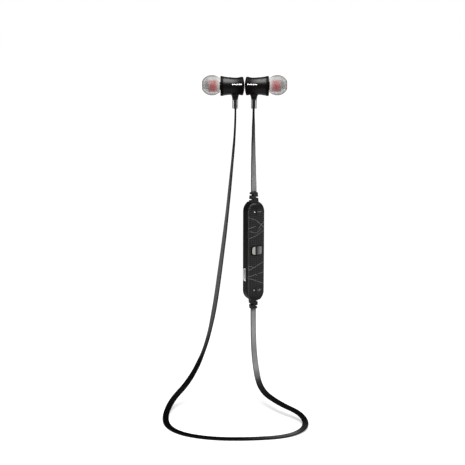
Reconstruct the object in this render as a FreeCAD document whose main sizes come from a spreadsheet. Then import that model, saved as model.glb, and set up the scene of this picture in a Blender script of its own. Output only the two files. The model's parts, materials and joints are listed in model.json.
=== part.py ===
import FreeCAD, Part
import math
import os
import re
import Sketcher

# Neckband earphones: two buds whose backs meet in a magnetic clasp, a flat cable from
# each bud, and an in-line remote that joins the two cables.
#
# Frame: the origin is the point where the two bud backs meet, on their common axis.
# +X runs towards the right bud's tip, +Z is up, and -Y is the side with the remote's
# buttons. A bud is drawn along +X from the clasp, and the left one is turned half a turn
# about Z. The remote is drawn about its own centre, front towards -Y, then turned.

V = FreeCAD.Vector

# Driving sizes, in millimetres.
SIZES = (
    # Bud: places along its axis, from the clasp.
    ("clasp_gap", 0.06),
    ("dome_middle", 0.3),
    ("dome_edge", 0.95),
    ("magnet_back", 1.6),
    ("cap_seam", 2.2),
    ("cap_spigot_end", 3.2),
    ("waist_at", 5.4),
    ("stem_at", 5.85),
    ("yoke_back", 8.0),
    ("bead_at", 8.6),
    ("flute_start", 9.5),
    ("driver_back", 9.4),
    ("yoke_front", 10.9),
    ("diaphragm_edge", 12.2),
    ("front_spigot_end", 12.6),
    ("front_seam", 13.5),
    ("front_face", 15.0),
    ("nozzle_lip", 19.3),
    ("nozzle_end", 20.6),
    # Bud: radii.
    ("dome_middle_radius", 2.9),
    ("dome_edge_radius", 5.55),
    ("rim_radius", 5.7),
    ("magnet_radius", 3.6),
    ("cap_spigot_radius", 4.9),
    ("waist_radius", 5.15),
    ("bead_radius", 5.5),
    ("shell_bore", 4.4),
    ("driver_radius", 4.7),
    ("front_spigot_radius", 5.2),
    ("shell_front_radius", 6.0),
    ("ring_radius", 6.15),
    ("flute_radius", 5.36),
    ("flute_rise", 0.084),
    ("flute_pitch", 0.6),
    ("flute_width", 0.24),
    ("yoke_radius", 3.2),
    ("yoke_gap_outer", 2.75),
    ("pole_radius", 2.0),
    ("coil_inner", 2.25),
    ("coil_outer", 2.5),
    ("diaphragm_radius", 4.2),
    ("nozzle_radius", 2.45),
    ("nozzle_lip_radius", 2.75),
    ("nozzle_bore", 1.8),
    ("mesh_thickness", 0.3),
    # Ear tip.
    ("core_back", 15.6),
    ("core_front", 22.6),
    ("core_bore", 2.8),
    ("core_radius", 3.5),
    ("skirt_back", 15.4),
    ("skirt_back_radius", 4.4),
    ("tip_widest_at", 20.4),
    ("tip_radius", 6.2),
    ("tip_front", 26.35),
    ("tip_outlet", 2.2),
    ("tip_wall", 0.55),
    # Stem and the sleeve below it: radii, then depths below the bud's axis.
    ("stem_plug_radius", 1.6),
    ("flare_radius", 2.75),
    ("sleeve_radius", 1.85),
    ("cable_radius", 1.0),
    ("stem_top", 4.0),
    ("flare_top", 5.1),
    ("sleeve_top", 7.6),
    ("cable_top", 8.9),
    ("sleeve_bottom", 13.8),
    # Remote: across, along and through.
    ("remote_half", 6.1),
    ("side_half", 25.95),
    ("end_bulge_half", 5.25),
    ("end_bulge_at", 29.35),
    ("end_half", 2.9),
    ("remote_end", 31.95),
    ("cavity_half", 5.1),
    ("cavity_bulge_half", 4.4353),
    ("cavity_bulge_at", 28.7489),
    ("cavity_end_half", 2.5832),
    ("cavity_end", 30.95),
    ("back_depth", 3.0),
    ("cavity_back", 2.0),
    ("seam_depth", 2.5),
    ("cover_inside", 3.6),
    ("ridge_depth", 5.2),
    ("ridge_shift", 0.8),
    ("roof_reach", 0.4),
    ("roof_left_depth", 3.911),
    ("roof_right_depth", 3.911),
    ("edge_rounding", 1.8),
    ("seam_rounding", 0.12),
    # Remote: buttons.
    ("button_half", 3.5),
    ("button_half_length", 2.75),
    ("button_left_depth", 4.589),
    ("button_right_depth", 4.441),
    ("button_at", 1.2),
    ("button_line_half", 0.4),
    ("button_line_drop", 0.08),
    ("button_line_depth", 0.3),
    ("button_proud", 0.2),
    ("button_gap", 0.6),
    ("button_corner", 1.1),
    ("button_hole_corner", 1.7),
    ("key_half", 3.6),
    ("key_half_length", 2.2),
    ("key_left_depth", 4.567),
    ("key_right_depth", 4.423),
    ("key_gap", 0.15),
    ("key_corner", 1.6),
    ("key_hole_corner", 1.75),
    ("minus_key_at", 26.4),
    ("plus_key_at", 24.75),
    ("key_switch_at", 1.6),
    ("key_mark_at", 1.8),
    ("flange_front", 3.5),
    ("flange_back", 3.1),
    ("flange_half", 2.6),
    ("flange_reach", 0.5),
    ("switch_half", 1.3),
    ("switch_front", 2.3),
    ("plunger_front", 2.6),
    ("plunger_radius", 0.7),
    # Remote: socket, board, battery and small parts.
    ("usb_at", 15.3),
    ("usb_middle", 0.5),
    ("usb_half", 3.75),
    ("usb_half_height", 1.3),
    ("usb_bevel", 0.8),
    ("usb_wall", 0.25),
    ("usb_length", 5.5),
    ("usb_inset", 0.45),
    ("tongue_half", 1.9),
    ("tongue_half_height", 0.3),
    ("recess_half", 4.7),
    ("recess_half_height", 1.8),
    ("recess_depth", 0.7),
    ("recess_corner", 1.0),
    ("board_half", 4.1),
    ("board_half_length", 28.3),
    ("board_front", 1.6),
    ("board_back", 0.8),
    ("battery_bottom", 5.0),
    ("battery_top", 25.0),
    ("battery_half", 4.0),
    ("battery_front", 0.7),
    ("battery_back", 1.9),
    ("chip_at", 5.5),
    ("chip_half", 2.0),
    ("chip_front", 0.1),
    ("capsule_half", 0.9),
    ("capsule_half_length", 1.4),
    ("sound_hole_radius", 0.35),
    ("light_radius", 0.45),
    ("light_hole_radius", 0.6),
    ("light_sink", 0.25),
    # Strain reliefs, from the remote's end outwards.
    ("relief_length", 6.2),
    ("relief_half", 2.8),
    ("relief_end_half", 2.15),
    ("relief_depth", 1.5),
    ("relief_neck_half", 1.5),
    ("relief_neck_depth", 1.1),
    ("relief_flange", 0.8),
    ("notch_half", 0.45),
    ("notch_reach", 0.8),
    ("eyelet_radius", 0.3),
    # Where things are.
    ("remote_x", 6.0),
    ("remote_z", 104.95),
    ("knuckle_radius", 1.1),
    ("knuckle_half", 1.55),
    ("knuckle_gap", 0.06),
)
REMOTE_TURN = 25.0          # degrees about Z, so that the front looks a little to +X
FLUTES = 6                  # fine turned grooves behind each bud's front ring

# Points of the long cable's centre line, from the left stem to the lower strain relief.
# It hangs from the bud, turns forwards on the surface below and comes back up.
LONG_ROUTE = (
    (-5.85, 0, -8.9),
    (-5.85, 0, -24),
    (-8.2, 0.3, -52),
    (-11.2, 0.8, -84),
    (-15.3, 1, -116),
    (-19.5, 0.7, -146),
    (-25.3, 0, -171),
    (-35.4, -4, -191.5),
    (-47.9, -17, -201),
    (-50.5, -41, -205),
    (-41, -58, -205),
    (-21, -66, -205),
    (4, -66, -205),
    (27, -62, -205),
    (38.5, -50.5, -204),
    (36, -37, -201),
    (22, -25, -199),
    (10.8, -7, -197),
    (7.5, 0.5, -183),
    (6, 0, -163),
)
# Points of the short cable's centre line between the right stem and the upper relief.
SHORT_ROUTE = (
    (5.85, 0, -8.9),
    (5.85, 0, -22),
    (5.6, 0, -45),
)

doc = FreeCAD.newDocument("NeckbandEarphones")
sheet = doc.addObject("Spreadsheet::Sheet", "Dimensions")
for row, (alias, number) in enumerate(SIZES, start=1):
    sheet.set(f"A{row}", alias)
    sheet.set(f"B{row}", str(number))
    sheet.setAlias(f"B{row}", alias)
doc.recompute()

NUMBERS = {alias: sheet.get(alias) for alias, number in SIZES}
nodes = []                  # every finished sub-part, in the order it is made


def value(words):
    """The number that a sum of cells and plain numbers comes to. A term may be number*cell."""
    total = 0.0
    sign = 1
    for word in words.split():
        if word in ("+", "-"):
            sign = 1 if word == "+" else -1
        else:
            factor, star, name = word.rpartition("*")
            total += sign * float(factor or 1) * (NUMBERS[name] if name in NUMBERS else float(name))
            sign = 1
    return total


def bound(words):
    """The same sum, written for the spreadsheet."""
    return re.sub(r"[a-z_]+", lambda word: "Dimensions." + word.group(), words)


def new_body(label, place=None):
    """An empty PartDesign body that is one sub-part of the object."""
    body = doc.addObject("PartDesign::Body", label)
    body.Label = label
    body.Placement = place or FreeCAD.Placement()
    nodes.append(body)
    return body


def new_sketch(body, role, offset=None):
    """A sketch on one of the body's own planes, moved along the plane's normal."""
    sketch = body.newObject("Sketcher::SketchObject", "Sketch")
    plane = [item for item in body.Origin.OriginFeatures if item.Role == role][0]
    sketch.AttachmentSupport = [(plane, "")]
    sketch.MapMode = "FlatFace"
    if offset:
        sketch.setExpression("AttachmentOffset.Base.z", bound(offset))
    return sketch


def hold_point(sketch, geometry, vertex, point):
    """Ties one vertex to its place, given as two sums."""
    for kind, words in zip(("DistanceX", "DistanceY"), point):
        index = sketch.addConstraint(Sketcher.Constraint(kind, -1, 1, geometry, vertex, value(words)))
        sketch.setExpression(f"Constraints[{index}]", bound(words))


def draw_outline(sketch, outline):
    """Draws a closed outline. A point marked "arc" is one that its edge passes through."""
    corners = [index for index, point in enumerate(outline) if len(point) == 2]
    for place, index in enumerate(corners):
        after = corners[(place + 1) % len(corners)]
        start = V(value(outline[index][0]), value(outline[index][1]), 0)
        end = V(value(outline[after][0]), value(outline[after][1]), 0)
        through = outline[(index + 1) % len(outline)]
        if len(through) == 2:
            edge = sketch.addGeometry(Part.LineSegment(start, end), False)
            first, last = 1, 2
        else:
            middle = V(value(through[0]), value(through[1]), 0)
            edge = sketch.addGeometry(Part.Arc(start, middle, end), False)
            first, last = (1, 2) if sketch.getPoint(edge, 1).distanceToPoint(start) < 1e-6 else (2, 1)
            mark = sketch.addGeometry(Part.Point(middle), True)
            hold_point(sketch, mark, 1, through[:2])
            sketch.addConstraint(Sketcher.Constraint("PointOnObject", mark, 1, edge))
        hold_point(sketch, edge, first, outline[index])
        hold_point(sketch, edge, last, outline[after])


def draw_box(sketch, left, low, right, high):
    """Draws a rectangle between two corners."""
    draw_outline(sketch, ((left, low), (right, low), (right, high), (left, high)))


def draw_rounded_box(sketch, left, low, right, high, corner):
    """Draws a rectangle with rounded corners."""
    cut = "0.2929*" + corner
    draw_outline(sketch, (
        (f"{left} + {corner}", low),
        (f"{right} - {corner}", low),
        (f"{right} - {cut}", f"{low} + {cut}", "arc"),
        (right, f"{low} + {corner}"),
        (right, f"{high} - {corner}"),
        (f"{right} - {cut}", f"{high} - {cut}", "arc"),
        (f"{right} - {corner}", high),
        (f"{left} + {corner}", high),
        (f"{left} + {cut}", f"{high} - {cut}", "arc"),
        (left, f"{high} - {corner}"),
        (left, f"{low} + {corner}"),
        (f"{left} + {cut}", f"{low} + {cut}", "arc"),
    ))


def draw_circle(sketch, centre, radius):
    """Draws a circle whose centre and radius are held by the spreadsheet."""
    middle = V(value(centre[0]), value(centre[1]), 0)
    circle = sketch.addGeometry(Part.Circle(middle, V(0, 0, 1), value(radius)), False)
    hold_point(sketch, circle, 3, centre)
    index = sketch.addConstraint(Sketcher.Constraint("Radius", circle, value(radius)))
    sketch.setExpression(f"Constraints[{index}]", bound(radius))


def extrude(body, kind, sketch, length, backwards=False, both_ways=False):
    """A Pad or a Pocket of the sketch."""
    feature = body.newObject("PartDesign::" + kind, kind)
    feature.Profile = sketch
    feature.setExpression("Length", bound(length))
    feature.Reversed = backwards
    feature.Midplane = both_ways
    return checked(body, feature, kind == "Pocket")


def spin(body, kind, sketch, axis):
    """A Revolution or a Groove of the sketch, a full turn about one of its axes."""
    feature = body.newObject("PartDesign::" + kind, kind)
    feature.Profile = sketch
    feature.ReferenceAxis = (sketch, [axis])
    feature.Angle = 360
    return checked(body, feature, kind == "Groove")


def spin_upright(body, sketch, across):
    """A Revolution about an upright line of the sketch."""
    foot = V(value(across), 0, 0)
    line = sketch.addGeometry(Part.LineSegment(foot, foot + V(0, 1, 0)), True)
    hold_point(sketch, line, 1, (across, "0"))
    hold_point(sketch, line, 2, (across, "1"))
    return spin(body, "Revolution", sketch, "Axis0")


def checked(body, feature, cuts):
    """Recomputes, and stops if a cut took nothing away."""
    before = body.Shape.Volume if cuts else 0
    doc.recompute()
    if cuts and body.Shape.Volume > before - 1e-4:
        raise RuntimeError(f"{body.Label}: {feature.Name} cuts nothing")
    return feature


def soften(body, size, wanted):
    """A Fillet of every edge of the body that the test picks."""
    base = body.Tip
    names = [f"Edge{index}" for index, edge in enumerate(base.Shape.Edges, start=1) if wanted(edge)]
    feature = body.newObject("PartDesign::Fillet", "Fillet")
    feature.Base = (base, names)
    feature.setExpression("Radius", bound(size))
    doc.recompute()
    return feature


def turned(label, outline, place=None):
    """A body of revolution about its local X axis."""
    body = new_body(label, place)
    sketch = new_sketch(body, "XY_Plane")
    draw_outline(sketch, outline)
    spin(body, "Revolution", sketch, "H_Axis")
    return body


# ---------------------------------------------------------------- buds

HOUSING_OUTSIDE = (
    ("cap_seam", "rim_radius"),
    ("cap_seam + 1.5", "waist_radius + 0.15", "arc"),
    ("waist_at", "waist_radius"),
    ("waist_at + 4.0", "waist_radius + 0.25", "arc"),
    ("front_seam", "shell_front_radius"),
)


def back_cap(side, place):
    """The domed cap that closes the back of a bud and holds the clasp's magnet."""
    turned(f"{side}_back_cap", (
        ("clasp_gap", "0"),
        ("dome_middle", "dome_middle_radius", "arc"),
        ("dome_edge", "dome_edge_radius"),
        ("dome_edge + 0.3", "rim_radius"),
        ("cap_seam", "rim_radius"),
        ("cap_seam", "cap_spigot_radius"),
        ("cap_spigot_end", "cap_spigot_radius"),
        ("cap_spigot_end", "magnet_radius"),
        ("magnet_back", "magnet_radius"),
        ("magnet_back", "0"),
    ), place)


def clasp_magnet(side, place):
    """The disc magnet in the back cap's pocket."""
    turned(f"{side}_clasp_magnet", (
        ("magnet_back", "0"),
        ("magnet_back", "magnet_radius"),
        ("cap_spigot_end", "magnet_radius"),
        ("cap_spigot_end", "0"),
    ), place)


def housing_shell(side, place):
    """The waisted metal shell, with a bead, fine turned grooves and a hole for the stem."""
    body = turned(f"{side}_housing_shell", HOUSING_OUTSIDE + (
        ("front_seam", "front_spigot_radius"),
        ("front_spigot_end", "front_spigot_radius"),
        ("front_spigot_end", "driver_radius"),
        ("driver_back", "driver_radius"),
        ("driver_back - 0.5", "shell_bore"),
        ("cap_spigot_end + 0.5", "shell_bore"),
        ("cap_spigot_end", "cap_spigot_radius"),
        ("cap_seam", "cap_spigot_radius"),
    ), place)
    bead = new_sketch(body, "XY_Plane")
    draw_box(bead, "bead_at", "waist_radius - 0.1", "bead_at + 0.5", "bead_radius")
    spin(body, "Revolution", bead, "H_Axis")
    flutes = new_sketch(body, "XY_Plane")
    along = "flute_start"
    floor = "flute_radius"
    for count in range(FLUTES):
        draw_box(flutes, along, floor, along + " + flute_width", floor + " + 0.5")
        along += " + flute_pitch"
        floor += " + flute_rise"
    spin(body, "Groove", flutes, "H_Axis")
    hole = new_sketch(body, "XY_Plane")
    draw_circle(hole, ("stem_at", "0"), "stem_plug_radius")
    extrude(body, "Pocket", hole, "rim_radius")


def front_cap(side, place):
    """The front ring, baffle and sound nozzle, in one piece."""
    turned(f"{side}_front_cap", (
        ("front_seam", "nozzle_bore"),
        ("front_seam", "front_spigot_radius - 0.6"),
        ("front_spigot_end", "front_spigot_radius - 0.6"),
        ("front_spigot_end", "front_spigot_radius"),
        ("front_seam", "front_spigot_radius"),
        ("front_seam", "ring_radius - 0.15"),
        ("front_seam + 0.15", "ring_radius"),
        ("front_face - 0.4", "ring_radius"),
        ("front_face - 0.1", "ring_radius - 0.12", "arc"),
        ("front_face", "ring_radius - 0.4"),
        ("front_face", "nozzle_radius"),
        ("nozzle_lip", "nozzle_radius"),
        ("nozzle_lip + 0.2", "nozzle_lip_radius"),
        ("nozzle_end - 0.5", "nozzle_lip_radius"),
        ("nozzle_end", "nozzle_radius - 0.05"),
        ("nozzle_end", "nozzle_bore"),
    ), place)


def nozzle_mesh(side, place):
    """The fine screen inside the nozzle's mouth."""
    turned(f"{side}_nozzle_mesh", (
        ("nozzle_end - 0.3 - mesh_thickness", "0"),
        ("nozzle_end - 0.3 - mesh_thickness", "nozzle_bore"),
        ("nozzle_end - 0.3", "nozzle_bore"),
        ("nozzle_end - 0.3", "0"),
    ), place)


def driver(side, place):
    """The dynamic driver: frame, magnet with its yoke, voice coil and diaphragm."""
    turned(f"{side}_driver_frame", (
        ("driver_back", "yoke_radius"),
        ("driver_back", "driver_radius"),
        ("diaphragm_edge + 0.35", "driver_radius"),
        ("diaphragm_edge + 0.35", "diaphragm_radius"),
        ("driver_back + 0.6", "diaphragm_radius"),
        ("driver_back + 0.6", "yoke_radius"),
    ), place)
    turned(f"{side}_driver_magnet", (
        ("yoke_back", "0"),
        ("yoke_back", "yoke_radius"),
        ("yoke_front", "yoke_radius"),
        ("yoke_front", "yoke_gap_outer"),
        ("yoke_back + 0.6", "yoke_gap_outer"),
        ("yoke_back + 0.6", "pole_radius"),
        ("yoke_front", "pole_radius"),
        ("yoke_front", "0"),
    ), place)
    turned(f"{side}_voice_coil", (
        ("yoke_front - 0.9", "coil_inner"),
        ("yoke_front - 0.9", "coil_outer"),
        ("diaphragm_edge", "coil_outer"),
        ("diaphragm_edge", "coil_inner"),
    ), place)
    turned(f"{side}_diaphragm", (
        ("diaphragm_edge + 0.4", "0"),
        ("diaphragm_edge + 0.4", "coil_inner - 1"),
        ("diaphragm_edge", "coil_outer"),
        ("diaphragm_edge", "diaphragm_radius"),
        ("diaphragm_edge + 0.25", "diaphragm_radius"),
        ("diaphragm_edge + 0.25", "coil_outer + 0.1"),
        ("diaphragm_edge + 0.65", "coil_inner - 0.9"),
        ("diaphragm_edge + 0.65", "0"),
    ), place)


def ear_tip(side, place):
    """The silicone tip: a coloured core that grips the nozzle, and a thin bulb over it."""
    turned(f"{side}_tip_core", (
        ("core_back", "core_bore"),
        ("core_back", "core_radius - 0.2"),
        ("core_back + 0.2", "core_radius"),
        ("core_front", "core_radius"),
        ("core_front", "core_bore"),
    ), place)
    turned(f"{side}_tip_bulb", (
        ("core_front", "tip_outlet"),
        ("tip_front", "tip_outlet"),
        ("tip_front", "tip_outlet + 0.2"),
        ("tip_front - 1.57", "tip_radius - 1.82", "arc"),
        ("tip_widest_at", "tip_radius"),
        ("tip_widest_at - 2.7", "tip_radius - 0.44", "arc"),
        ("skirt_back", "skirt_back_radius"),
        ("skirt_back + 0.3", "skirt_back_radius - tip_wall + 0.1"),
        ("tip_widest_at - 2.6", "tip_radius - tip_wall - 0.44", "arc"),
        ("tip_widest_at", "tip_radius - tip_wall"),
        ("tip_widest_at + 2.6", "tip_radius - tip_wall - 0.75", "arc"),
        ("core_front + 1.7", "core_radius + 0.4"),
        ("core_front + 1.0", "core_radius"),
        ("core_front", "core_radius"),
    ), place)


def stem(side, place):
    """The flared neck under the bud, its plug in the shell, and the clear sleeve below."""
    body = new_body(f"{side}_stem", place)
    flare = new_sketch(body, "XZ_Plane")
    draw_outline(flare, (
        ("stem_at", "- stem_top"),
        ("stem_at + flare_radius", "- stem_top"),
        ("stem_at + flare_radius", "- flare_top"),
        ("stem_at + sleeve_radius + 0.25", "- flare_top - 1.25", "arc"),
        ("stem_at + sleeve_radius", "- sleeve_top"),
        ("stem_at + cable_radius", "- cable_top"),
        ("stem_at", "- cable_top"),
    ))
    spin_upright(body, flare, "stem_at")
    seat = new_sketch(body, "XY_Plane")
    draw_outline(seat, HOUSING_OUTSIDE + (("front_seam", "0"), ("cap_seam", "0")))
    spin(body, "Groove", seat, "H_Axis")
    plug = new_sketch(body, "XY_Plane", "- flare_top - 0.5")
    draw_circle(plug, ("stem_at", "0"), "stem_plug_radius")
    extrude(body, "Pad", plug, "1.2")

    body = new_body(f"{side}_cable_sleeve", place)
    wall = new_sketch(body, "XZ_Plane")
    draw_outline(wall, (
        ("stem_at + cable_radius", "- sleeve_bottom"),
        ("stem_at + sleeve_radius", "- sleeve_bottom"),
        ("stem_at + sleeve_radius", "- sleeve_top"),
        ("stem_at + cable_radius", "- cable_top"),
    ))
    spin_upright(body, wall, "stem_at")


# ---------------------------------------------------------------- remote

REMOTE = FreeCAD.Placement(
    V(value("remote_x"), 0, -value("remote_z")),
    FreeCAD.Rotation(V(0, 0, 1), REMOTE_TURN),
)


def long_outline(half, side, bulge_half, bulge_at, end_half, end):
    """A long outline with straight sides, rounded corners and short flat ends."""
    return (
        (half, "- " + side),
        (half, side),
        (bulge_half, bulge_at, "arc"),
        (end_half, end),
        ("- " + end_half, end),
        ("- " + bulge_half, bulge_at, "arc"),
        ("- " + half, side),
        ("- " + half, "- " + side),
        ("- " + bulge_half, "- " + bulge_at, "arc"),
        ("- " + end_half, "- " + end),
        (end_half, "- " + end),
        (bulge_half, "- " + bulge_at, "arc"),
    )


OUTSIDE = long_outline("remote_half", "side_half", "end_bulge_half", "end_bulge_at", "end_half", "remote_end")
CAVITY = long_outline(
    "cavity_half", "side_half", "cavity_bulge_half", "cavity_bulge_at", "cavity_end_half", "cavity_end",
)


def runs_along(edge, axis):
    """Whether an edge is straight and lies along the axis."""
    if len(edge.Vertexes) != 2:
        return False
    span = edge.Vertexes[1].Point - edge.Vertexes[0].Point
    return abs(abs(span.dot(axis)) - edge.Length) < 1e-6


def round_corners(body, radius, half, half_length, middle):
    """Rounds a button's four edges that run from front to back."""

    def at_corner(edge):
        spot = edge.Vertexes[0].Point
        return (
            runs_along(edge, V(0, 1, 0))
            and abs(abs(spot.x) - value(half)) < 1e-6
            and abs(abs(spot.z - value(middle)) - value(half_length)) < 1e-6
        )

    soften(body, radius, at_corner)


def remote_blank(body):
    """The remote's whole outside: a long block with a low ridged front and rounded edges."""
    outline = new_sketch(body, "XZ_Plane", "- back_depth")
    draw_outline(outline, OUTSIDE)
    extrude(body, "Pad", outline, "back_depth + ridge_depth")
    roof = new_sketch(body, "XY_Plane")
    draw_outline(roof, (
        ("- ridge_shift", "- ridge_depth"),
        ("remote_half + roof_reach", "- roof_right_depth"),
        ("remote_half + roof_reach", "- ridge_depth - 1"),
        ("- remote_half - roof_reach", "- ridge_depth - 1"),
        ("- remote_half - roof_reach", "- roof_left_depth"),
    ))
    extrude(body, "Pocket", roof, "remote_end + remote_end + 2", both_ways=True)

    ridge = -value("ridge_shift")

    def at_front(edge):
        spots = [vertex.Point for vertex in edge.Vertexes]
        return all(spot.y < -3.9 for spot in spots) and any(abs(spot.x - ridge) > 1e-6 for spot in spots)

    soften(body, "edge_rounding", at_front)


def case_back():
    """The tray that holds the board and battery, open at the seam with the cover."""
    body = new_body("remote_case_back", REMOTE)
    remote_blank(body)
    front = new_sketch(body, "XZ_Plane", "seam_depth")
    draw_box(front, "- remote_half - 1", "- remote_end - 1", "remote_half + 1", "remote_end + 1")
    extrude(body, "Pocket", front, "ridge_depth", backwards=True)
    inside = new_sketch(body, "XZ_Plane", "seam_depth")
    draw_outline(inside, CAVITY)
    extrude(body, "Pocket", inside, "seam_depth + cavity_back")
    recess = new_sketch(body, "YZ_Plane", "- remote_half")
    draw_rounded_box(
        recess, "usb_middle - recess_half_height", "- usb_at - recess_half",
        "usb_middle + recess_half_height", "- usb_at + recess_half", "recess_corner",
    )
    extrude(body, "Pocket", recess, "recess_depth", backwards=True)
    socket = new_sketch(body, "YZ_Plane", "- remote_half")
    draw_outline(socket, socket_outline("0.03"))
    extrude(body, "Pocket", socket, "recess_depth + 1", backwards=True)
    cable_holes = new_sketch(body, "XY_Plane")
    draw_box(
        cable_holes, "- relief_neck_half", "- relief_neck_depth", "relief_neck_half", "relief_neck_depth",
    )
    extrude(body, "Pocket", cable_holes, "remote_end + remote_end + 2", both_ways=True)


def front_cover():
    """The ridged front, with openings for the button and the two keys."""
    body = new_body("remote_front_cover", REMOTE)
    remote_blank(body)
    back = new_sketch(body, "XZ_Plane", "seam_depth")
    draw_box(back, "- remote_half - 1", "- remote_end - 1", "remote_half + 1", "remote_end + 1")
    extrude(body, "Pocket", back, "seam_depth + back_depth + 1")

    def at_seam(edge):
        spots = [vertex.Point for vertex in edge.Vertexes]
        return all(abs(spot.y + value("seam_depth")) < 1e-6 for spot in spots)

    soften(body, "seam_rounding", at_seam)
    inside = new_sketch(body, "XZ_Plane", "seam_depth")
    draw_outline(inside, CAVITY)
    extrude(body, "Pocket", inside, "cover_inside - seam_depth", backwards=True)
    openings = (
        ("button_half", "button_half_length", "button_gap", "button_hole_corner", "button_at"),
        ("key_half", "key_half_length", "key_gap", "key_hole_corner", "minus_key_at"),
        ("key_half", "key_half_length", "key_gap", "key_hole_corner", "- plus_key_at"),
    )
    for half, half_length, gap, corner, middle in openings:
        hole = new_sketch(body, "XZ_Plane")
        draw_rounded_box(
            hole, f"- {half} - {gap}", f"{middle} - {half_length} - {gap}",
            f"{half} + {gap}", f"{middle} + {half_length} + {gap}", corner,
        )
        extrude(body, "Pocket", hole, "ridge_depth + 1", backwards=True)


def socket_outline(growth):
    """The outline of the charging socket, bevelled on the side that faces the remote's back."""
    return (
        (f"usb_middle - usb_half_height - {growth}", f"- usb_at - usb_half - {growth}"),
        ("usb_middle + usb_half_height - usb_bevel", f"- usb_at - usb_half - {growth}"),
        (f"usb_middle + usb_half_height + {growth}", "- usb_at - usb_half + usb_bevel"),
        (f"usb_middle + usb_half_height + {growth}", "- usb_at + usb_half - usb_bevel"),
        ("usb_middle + usb_half_height - usb_bevel", f"- usb_at + usb_half + {growth}"),
        (f"usb_middle - usb_half_height - {growth}", f"- usb_at + usb_half + {growth}"),
    )


def charging_socket():
    """The metal shell of the charging socket and the contact tongue inside it."""
    body = new_body("usb_socket_shell", REMOTE)
    outline = new_sketch(body, "YZ_Plane", "- remote_half + usb_inset")
    draw_outline(outline, socket_outline("0"))
    extrude(body, "Pad", outline, "usb_length")
    mouth = new_sketch(body, "YZ_Plane", "- remote_half + usb_inset")
    draw_outline(mouth, socket_outline("- usb_wall"))
    extrude(body, "Pocket", mouth, "usb_length - usb_wall", backwards=True)
    body = new_body("usb_socket_tongue", REMOTE)
    tongue = new_sketch(body, "YZ_Plane", "- remote_half + usb_inset + 0.8")
    draw_box(
        tongue, "usb_middle - tongue_half_height", "- usb_at - tongue_half",
        "usb_middle + tongue_half_height", "- usb_at + tongue_half",
    )
    extrude(body, "Pad", tongue, "usb_length - usb_wall - 0.8")


def box_body(label, left, right, back, front, low, high):
    """A plain block of the remote. Back and front are depths towards the front."""
    body = new_body(label, REMOTE)
    base = new_sketch(body, "XZ_Plane", back)
    draw_box(base, left, low, right, high)
    extrude(body, "Pad", base, f"{front} - {back}".replace("- -", "+"))
    return body


def electronics():
    """What the case holds: board, battery, chip, microphone, indicator light and switches."""
    box_body(
        "circuit_board", "- board_half", "board_half", "board_back", "board_front",
        "- board_half_length", "board_half_length",
    )
    box_body(
        "battery", "- battery_half", "battery_half", "- battery_back", "battery_front",
        "battery_bottom", "battery_top",
    )
    box_body(
        "bluetooth_chip", "- chip_half", "chip_half", "- chip_front", "board_back",
        "- chip_at - chip_half", "- chip_at + chip_half",
    )
    box_body(
        "microphone", "- key_mark_at - capsule_half", "- key_mark_at + capsule_half", "board_front",
        "plunger_front", "minus_key_at - capsule_half_length", "minus_key_at + capsule_half_length",
    )
    body = new_body("indicator_light", REMOTE)
    pipe = new_sketch(body, "XZ_Plane", "board_front")
    draw_circle(pipe, ("- key_mark_at", "- plus_key_at"), "light_radius")
    extrude(body, "Pad", pipe, "ridge_depth - light_sink - board_front")
    switches = (("main_switch", "0", "button_at"), ("minus_switch", "key_switch_at", "minus_key_at"),
                ("plus_switch", "key_switch_at", "- plus_key_at"))
    for label, across, along in switches:
        body = box_body(
            label, f"{across} - switch_half", f"{across} + switch_half", "board_front", "switch_front",
            f"{along} - switch_half", f"{along} + switch_half",
        )
        plunger = new_sketch(body, "XZ_Plane", "switch_front - 0.1")
        draw_circle(plunger, (across, along), "plunger_radius")
        extrude(body, "Pad", plunger, "plunger_front - switch_front + 0.1")


def add_flange(body, middle, half_length, gap):
    """The lip below a button that stops it from falling out of the cover."""
    lip = new_sketch(body, "XZ_Plane", "flange_back")
    reach = f"{half_length} + {gap} + flange_reach"
    draw_box(
        lip, "- flange_half", f"{middle} - {reach.replace(' +', ' -')}", "flange_half", f"{middle} + {reach}",
    )
    extrude(body, "Pad", lip, "flange_front - flange_back")


def main_button():
    """The metal-look call and play button, ridged like the cover, with a line along the ridge."""
    body = new_body("main_button", REMOTE)
    section = new_sketch(body, "XY_Plane", "button_at")
    draw_outline(section, (
        ("- button_half", "- flange_front"),
        ("button_half", "- flange_front"),
        ("button_half", "- button_right_depth - button_proud"),
        ("button_line_half - ridge_shift", "- ridge_depth + button_line_drop - button_proud"),
        ("button_line_half - ridge_shift", "- ridge_depth + button_line_depth - button_proud"),
        ("- button_line_half - ridge_shift", "- ridge_depth + button_line_depth - button_proud"),
        ("- button_line_half - ridge_shift", "- ridge_depth + button_line_drop - button_proud"),
        ("- button_half", "- button_left_depth - button_proud"),
    ))
    extrude(body, "Pad", section, "button_half_length + button_half_length", both_ways=True)
    round_corners(body, "button_corner", "button_half", "button_half_length", "button_at")
    add_flange(body, "button_at", "button_half_length", "button_gap")


def volume_key(label, middle, hole_radius):
    """A volume key, flush with the cover and pierced for the part below its left half."""
    body = new_body(label, REMOTE)
    section = new_sketch(body, "XY_Plane", middle)
    draw_outline(section, (
        ("- key_half", "- flange_front"),
        ("key_half", "- flange_front"),
        ("key_half", "- key_right_depth"),
        ("- ridge_shift", "- ridge_depth"),
        ("- key_half", "- key_left_depth"),
    ))
    extrude(body, "Pad", section, "key_half_length + key_half_length", both_ways=True)
    round_corners(body, "key_corner", "key_half", "key_half_length", middle)
    add_flange(body, middle, "key_half_length", "key_gap")
    hole = new_sketch(body, "XZ_Plane")
    draw_circle(hole, ("- key_mark_at", middle), hole_radius)
    extrude(body, "Pocket", hole, "ridge_depth + 1", backwards=True)


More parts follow.
